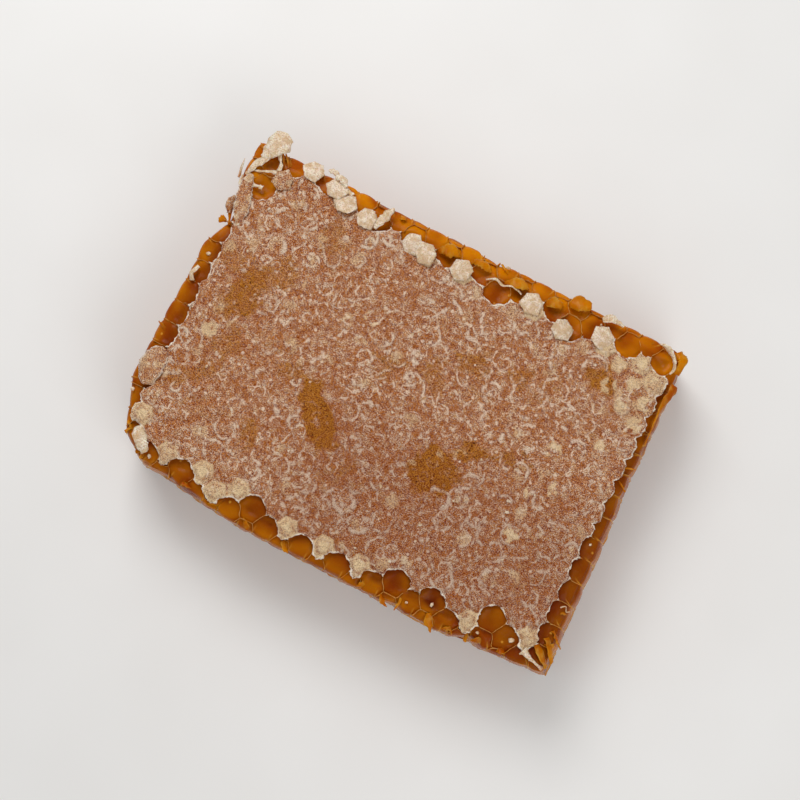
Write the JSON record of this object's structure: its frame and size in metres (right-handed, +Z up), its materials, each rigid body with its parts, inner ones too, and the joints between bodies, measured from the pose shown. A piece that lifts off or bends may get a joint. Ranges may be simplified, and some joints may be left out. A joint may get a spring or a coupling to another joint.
{
  "type": "honeycomb piece",
  "caption": "Rectangular slab of cut comb honey: hexagonal honey cells back to back on a wax midrib, sealed by mottled wax capping, with a torn corner and loose caps.",
  "frame": {"origin": "middle of the piece's outline, on the underside that it lies on", "axes": "+X along the longer side, +Y along the shorter side towards the edge with the torn corner, +Z up through the top capping"},
  "size_m": [0.1185, 0.0861, 0.0275],
  "materials": {
    "wax_capping": "dry beeswax, pinkish brown mottled with cream",
    "honey_cells": "wet amber honey in thin wax cells",
    "midrib_wax": "cream beeswax"
  },
  "bodies": {
    "root": {"top_capping": "wax_capping", "upper_cells": "honey_cells", "midrib": "midrib_wax", "lower_cells": "honey_cells", "bottom_capping": "wax_capping"}
  },
  "joints": []
}
